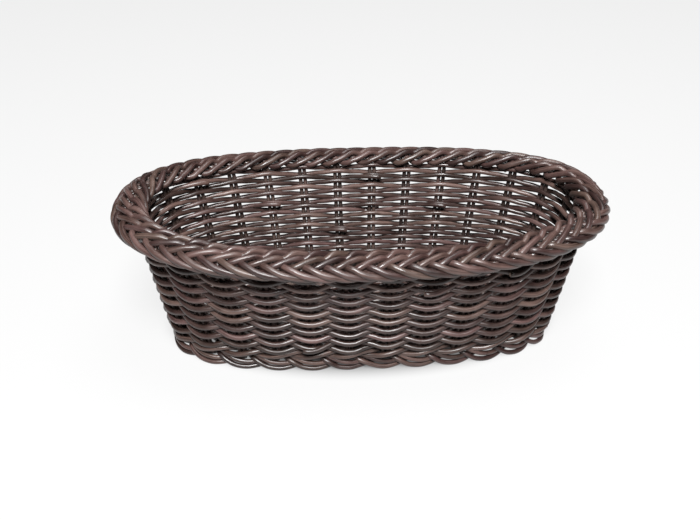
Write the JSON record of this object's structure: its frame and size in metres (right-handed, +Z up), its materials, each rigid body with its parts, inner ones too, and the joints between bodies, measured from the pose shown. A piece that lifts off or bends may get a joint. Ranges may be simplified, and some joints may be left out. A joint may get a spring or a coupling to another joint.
{
  "type": "bread basket",
  "caption": "Oval bread basket woven from round dark brown plastic cane, flared wall on paired stakes, flat plaited rim and wrapped foot",
  "frame": {"origin": "on the table under the middle of the basket, at the bottom centre of its box", "axes": "+X along the length of the oval, +Y across it to the back, +Z up"},
  "size_m": [0.2988, 0.175, 0.0958],
  "materials": {
    "weaver_cane": "satin round plastic cane, dark mocha brown with fine lengthwise grain",
    "rim_cane": "satin round plastic cane, mocha brown, plaited",
    "foot_cane": "satin round plastic cane, dark brown, wrapped in doubled rods",
    "stake_cane": "thin round plastic cane, greyish brown",
    "base_cane": "satin round plastic cane, dark mocha brown",
    "base_stick": "straight round plastic sticks, dark brown"
  },
  "bodies": {
    "root": {"weaver_row_01": "weaver_cane", "weaver_row_02": "weaver_cane", "weaver_row_03": "weaver_cane", "weaver_row_04": "weaver_cane", "weaver_row_05": "weaver_cane", "weaver_row_06": "weaver_cane", "weaver_row_07": "weaver_cane", "weaver_row_08": "weaver_cane", "weaver_row_09": "weaver_cane", "weaver_row_10": "weaver_cane", "weaver_row_11": "weaver_cane", "weaver_row_12": "weaver_cane", "weaver_row_13": "weaver_cane", "weaver_row_14": "weaver_cane", "weaver_row_15": "weaver_cane", "weaver_row_16": "weaver_cane", "weaver_row_17": "weaver_cane", "weaver_row_18": "weaver_cane", "weaver_row_19": "weaver_cane", "weaver_row_20": "weaver_cane", "foot_binding_lower": "weaver_cane", "foot_binding_upper": "weaver_cane", "rim_plait_strand_1": "rim_cane", "rim_plait_strand_2": "rim_cane", "rim_plait_strand_3": "rim_cane", "rim_plait_strand_4": "rim_cane", "rim_plait_strand_5": "rim_cane", "rim_plait_strand_6": "rim_cane", "rim_plait_strand_7": "rim_cane", "rim_plait_strand_8": "rim_cane", "foot_border_front": "foot_cane", "foot_border_right": "foot_cane", "foot_border_back": "foot_cane", "foot_border_left": "foot_cane", "stakes_front": "stake_cane", "stakes_right": "stake_cane", "stakes_back": "stake_cane", "stakes_left": "stake_cane", "base_rounds_1": "base_cane", "base_rounds_2": "base_cane", "base_rounds_3": "base_cane", "base_rounds_4": "base_cane", "base_rounds_5": "base_cane", "base_rounds_6": "base_cane", "base_sticks_cross": "base_stick", "base_sticks_left": "base_stick", "base_sticks_right": "base_stick"}
  },
  "joints": []
}
